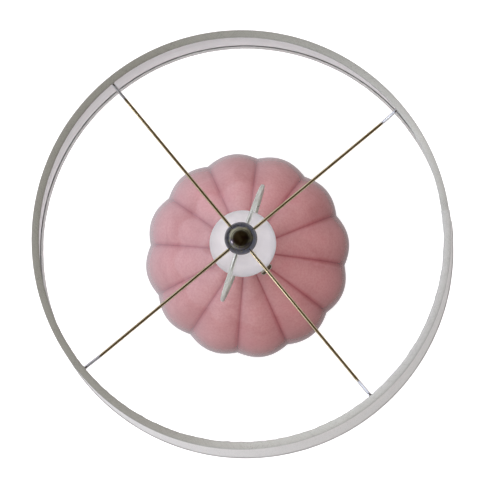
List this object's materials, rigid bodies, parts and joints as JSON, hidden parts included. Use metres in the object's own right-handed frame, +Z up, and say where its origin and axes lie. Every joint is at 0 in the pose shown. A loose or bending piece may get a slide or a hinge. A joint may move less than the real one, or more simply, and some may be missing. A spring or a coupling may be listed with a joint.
{
  "type": "table lamp with drum shade",
  "caption": "Table lamp: ribbed gourd-shaped ceramic base, wire harp, bulb in a turn-knob holder, tapered drum shade and ball finial.",
  "frame": {"origin": "on the table, under the middle of the lamp", "axes": "+Z up along the lamp's axis; -Y is the front, and the cord outlet is at the back"},
  "size_m": [0.4064, 0.4064, 0.523],
  "materials": {
    "black_felt": "pressed wool felt",
    "pink_glaze": "glossy dusty-pink glaze",
    "zinc_steel": "zinc-plated steel",
    "black_rubber": "moulded rubber",
    "nickel_plate": "bright nickel plate on steel",
    "vulcanised_fibre": "insulating fibre sleeve",
    "phenolic": "phenolic moulding",
    "brass": "plain brass",
    "frosted_diffuser": "frosted white diffuser",
    "white_plastic": "moulded white plastic",
    "aluminium_sheet": "aluminium sheet",
    "circuit_board": "circuit board laminate",
    "black_glass": "black insulating glass",
    "linen": "pale grey woven linen cover",
    "styrene": "satin white styrene liner",
    "rim_tape": "folded linen bias tape",
    "gunmetal": "polished gunmetal"
  },
  "bodies": {
    "lamp_base": {"felt_pad": "black_felt", "ceramic_base": "pink_glaze", "base_washer": "zinc_steel", "base_nut": "zinc_steel", "threaded_pipe": "zinc_steel", "cord_grommet": "black_rubber", "vase_cap": "nickel_plate", "neck_tube": "nickel_plate", "check_ring": "nickel_plate", "harp_saddle": "zinc_steel", "socket_cap": "nickel_plate", "cap_set_screw": "zinc_steel", "socket_shell": "nickel_plate", "socket_liner": "vulcanised_fibre", "socket_body": "phenolic", "terminal_screw_brass": "brass", "terminal_screw_silver": "zinc_steel", "screw_shell": "brass", "centre_contact": "brass"},
    "switch": {"switch_rotor": "phenolic", "switch_stem": "nickel_plate", "switch_knob": "nickel_plate"},
    "bulb_tip": {"bulb_contact": "zinc_steel"},
    "bulb": {"bulb_globe": "frosted_diffuser", "bulb_housing": "white_plastic", "bulb_led_plate": "aluminium_sheet", "bulb_driver_board": "circuit_board", "bulb_screw_cap": "nickel_plate", "bulb_insulator": "black_glass"},
    "harp": {"harp_wire": "nickel_plate", "harp_stud": "nickel_plate"},
    "ferrule_left": {"ferrule_left": "nickel_plate"},
    "ferrule_right": {"ferrule_right": "nickel_plate"},
    "shade_hub": {"spider_hub": "nickel_plate"},
    "shade": {"spider_arm_1": "nickel_plate", "spider_arm_2": "nickel_plate", "spider_arm_3": "nickel_plate", "spider_arm_4": "nickel_plate", "shade_top_ring": "nickel_plate", "shade_bottom_ring": "nickel_plate", "shade_liner": "styrene", "shade_cover": "linen", "top_trim": "rim_tape", "bottom_trim": "rim_tape"},
    "finial_base": {"finial_base": "gunmetal"},
    "finial_ball": {"finial_ball": "gunmetal"}
  },
  "joints": [
    {"name": "switch_turn", "type": "hinge", "parent": "lamp_base", "child": "switch", "pos_m": [0, 0, 0.3125], "axis": [0.7071, -0.7071, 0], "continuous": true},
    {"name": "bulb_rise", "type": "slide", "parent": "lamp_base", "child": "bulb_tip", "axis": [0, 0, 1], "range_m": [0, 0.0182]},
    {"name": "bulb_turn", "type": "hinge", "parent": "bulb_tip", "child": "bulb", "pos_m": [0, 0, 0.3255], "axis": [0, 0, 1], "range_deg": [0, 1800]},
    {"name": "harp_lift", "type": "slide", "parent": "lamp_base", "child": "harp", "axis": [0, 0, 1], "range_m": [0, 0.012]},
    {"name": "ferrule_left_slide", "type": "slide", "parent": "harp", "child": "ferrule_left", "axis": [0, 0, 1], "range_m": [0, 0.012]},
    {"name": "ferrule_right_slide", "type": "slide", "parent": "harp", "child": "ferrule_right", "axis": [0, 0, 1], "range_m": [0, 0.012]},
    {"name": "shade_lift", "type": "slide", "parent": "harp", "child": "shade_hub", "axis": [0, 0, 1], "range_m": [0, 0.26]},
    {"name": "shade_turn", "type": "hinge", "parent": "shade_hub", "child": "shade", "pos_m": [0, 0, 0.4858], "axis": [0, 0, 1], "continuous": true},
    {"name": "finial_rise", "type": "slide", "parent": "shade_hub", "child": "finial_base", "axis": [0, 0, 1], "range_m": [0, 0.0095]},
    {"name": "finial_turn", "type": "hinge", "parent": "finial_base", "child": "finial_ball", "pos_m": [0, 0, 0.509], "axis": [0, 0, 1], "range_deg": [0, 3600]}
  ],
  "couplings": [
    {"joint": "bulb_rise", "follows": "bulb_turn", "m_per_rad": 0.00057774},
    {"joint": "finial_rise", "follows": "finial_turn", "m_per_rad": 0.00014972}
  ]
}
